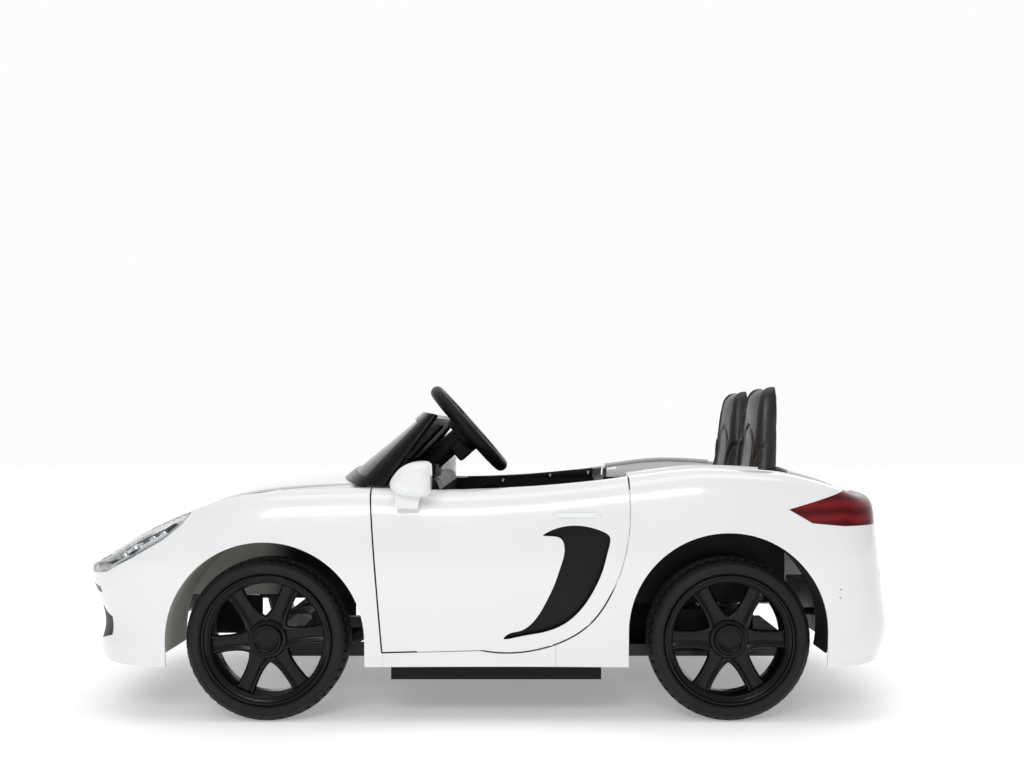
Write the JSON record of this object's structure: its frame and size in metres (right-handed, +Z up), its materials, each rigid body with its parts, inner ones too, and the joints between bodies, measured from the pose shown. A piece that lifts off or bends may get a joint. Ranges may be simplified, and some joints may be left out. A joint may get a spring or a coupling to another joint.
{
  "type": "electric ride-on car",
  "caption": "Open two-seat electric ride-on sports car for children: glossy moulded body, opening doors, steered front wheels, padded seats and a driven rear axle.",
  "frame": {"origin": "on the ground under the middle of the car's bounding box", "axes": "+X to the rear, so the car drives towards -X; +Y to its right side; +Z up"},
  "size_m": [1.5701, 0.852, 0.63],
  "materials": {
    "body_white": "gloss",
    "trim_black": "satin",
    "liner": "matte",
    "headlamp_clear": "gloss",
    "headlamp_cup": "polished",
    "tail_lamp_red": "gloss",
    "screen_tint": "gloss",
    "mirror_glass": "polished",
    "latch_chrome": "polished",
    "frame_steel": "satin",
    "motor_steel": "satin",
    "seat_leather": "satin",
    "tyre_rubber": "matte",
    "rim_black": "satin"
  },
  "bodies": {
    "car": {"arch_liners": "liner", "battery": "trim_black", "bonnet": "body_white", "chassis_frame": "frame_steel", "control_box": "trim_black", "dashboard": "trim_black", "drive_motors": "motor_steel", "floor_tub": "trim_black", "front_axle_beam": "frame_steel", "front_fascia": "body_white", "front_grille": "trim_black", "gearboxes": "trim_black", "headlamp_cups": "headlamp_cup", "headlamp_lenses": "headlamp_clear", "hinge_posts": "trim_black", "rear_axle": "frame_steel", "rear_deck": "body_white", "rear_diffuser": "trim_black", "rear_fascia": "body_white", "seat_back_left": "seat_leather", "seat_back_right": "seat_leather", "seat_cushion_left": "seat_leather", "seat_cushion_right": "seat_leather", "side_sills": "body_white", "tail_lamps": "tail_lamp_red", "windscreen": "screen_tint", "windscreen_frame": "trim_black"},
    "steering": {"steering_wheel": "trim_black", "steering_column": "frame_steel"},
    "horn": {"horn_pad": "trim_black"},
    "tie_rod": {"tie_rod": "frame_steel"},
    "pedal": {"accelerator_pedal": "trim_black"},
    "power": {"power_button": "trim_black"},
    "direction": {"direction_switch": "trim_black"},
    "knuckle_left": {"knuckle_left": "frame_steel"},
    "door_left": {"door_skin_left": "body_white", "door_trim_left": "trim_black", "side_vent_left": "trim_black", "mirror_left": "body_white", "mirror_glass_left": "mirror_glass"},
    "latch_left": {"door_latch_left": "latch_chrome"},
    "knuckle_right": {"knuckle_right": "frame_steel"},
    "door_right": {"door_skin_right": "body_white", "door_trim_right": "trim_black", "side_vent_right": "trim_black", "mirror_right": "body_white", "mirror_glass_right": "mirror_glass"},
    "latch_right": {"door_latch_right": "latch_chrome"},
    "wheel_front_left": {"tyre_front_left": "tyre_rubber", "rim_front_left": "rim_black", "hub_cap_front_left": "rim_black"},
    "wheel_front_right": {"tyre_front_right": "tyre_rubber", "rim_front_right": "rim_black", "hub_cap_front_right": "rim_black"},
    "wheel_rear_left": {"tyre_rear_left": "tyre_rubber", "rim_rear_left": "rim_black", "hub_cap_rear_left": "rim_black"},
    "wheel_rear_right": {"tyre_rear_right": "tyre_rubber", "rim_rear_right": "rim_black", "hub_cap_rear_right": "rim_black"}
  },
  "joints": [
    {"name": "steering_turn", "type": "hinge", "parent": "car", "child": "steering", "pos_m": [-0.036, -0.141, 0.539], "axis": [0.7501, 0, 0.6613], "range_deg": [-35, 35]},
    {"name": "horn_press", "type": "slide", "parent": "steering", "child": "horn", "axis": [-0.7501, 0, -0.6613], "range_m": [0, 0.003], "stiffness_N_per_m": 500},
    {"name": "tie_rod_slide", "type": "slide", "parent": "car", "child": "tie_rod", "axis": [0, 1, 0], "range_m": [-0.01931, 0.01931]},
    {"name": "pedal_press", "type": "hinge", "parent": "car", "child": "pedal", "pos_m": [-0.12, -0.085, 0.121], "axis": [0, -1, 0], "range_deg": [0, 14], "stiffness_Nm_per_rad": 2, "springref_deg": -11.46},
    {"name": "power_press", "type": "slide", "parent": "car", "child": "power", "axis": [-1, 0, 0], "range_m": [0, 0.004], "stiffness_N_per_m": 500},
    {"name": "direction_rock", "type": "hinge", "parent": "car", "child": "direction", "pos_m": [-0.095, 0.044, 0.384], "axis": [0, 1, 0], "range_deg": [-10, 10]},
    {"name": "door_left_swing", "type": "hinge", "parent": "car", "child": "door_left", "pos_m": [-0.1743, -0.37355, 0.222], "axis": [0.08, 0, -0.9968], "range_deg": [0, 58]},
    {"name": "latch_left_pull", "type": "hinge", "parent": "door_left", "child": "latch_left", "pos_m": [-0.03, -0.322, 0.396], "axis": [0, -1, 0], "range_deg": [0, 22], "stiffness_Nm_per_rad": 0.2, "springref_deg": -8.59},
    {"name": "knuckle_left_steer", "type": "hinge", "parent": "car", "child": "knuckle_left", "pos_m": [-0.398, -0.268, 0.15], "axis": [0, 0, 1], "range_deg": [-20.5, 20.5]},
    {"name": "door_right_swing", "type": "hinge", "parent": "car", "child": "door_right", "pos_m": [-0.1743, 0.37355, 0.222], "axis": [-0.08, 0, 0.9968], "range_deg": [0, 58]},
    {"name": "latch_right_pull", "type": "hinge", "parent": "door_right", "child": "latch_right", "pos_m": [-0.03, 0.322, 0.396], "axis": [0, -1, 0], "range_deg": [0, 22], "stiffness_Nm_per_rad": 0.2, "springref_deg": -8.59},
    {"name": "knuckle_right_steer", "type": "hinge", "parent": "car", "child": "knuckle_right", "pos_m": [-0.398, 0.268, 0.15], "axis": [0, 0, 1], "range_deg": [-20.5, 20.5]},
    {"name": "wheel_front_left_spin", "type": "hinge", "parent": "knuckle_left", "child": "wheel_front_left", "pos_m": [-0.398, -0.334, 0.15], "axis": [0, 1, 0], "continuous": true},
    {"name": "wheel_front_right_spin", "type": "hinge", "parent": "knuckle_right", "child": "wheel_front_right", "pos_m": [-0.398, 0.334, 0.15], "axis": [0, 1, 0], "continuous": true},
    {"name": "wheel_rear_left_spin", "type": "hinge", "parent": "car", "child": "wheel_rear_left", "pos_m": [0.453, -0.334, 0.15], "axis": [0, 1, 0], "continuous": true},
    {"name": "wheel_rear_right_spin", "type": "hinge", "parent": "car", "child": "wheel_rear_right", "pos_m": [0.453, 0.334, 0.15], "axis": [0, 1, 0], "continuous": true}
  ],
  "couplings": [
    {"joint": "tie_rod_slide", "follows": "steering_turn", "m_per_rad": 0.030794},
    {"joint": "knuckle_left_steer", "follows": "steering_turn", "ratio": 0.57143},
    {"joint": "knuckle_right_steer", "follows": "steering_turn", "ratio": 0.57143}
  ]
}
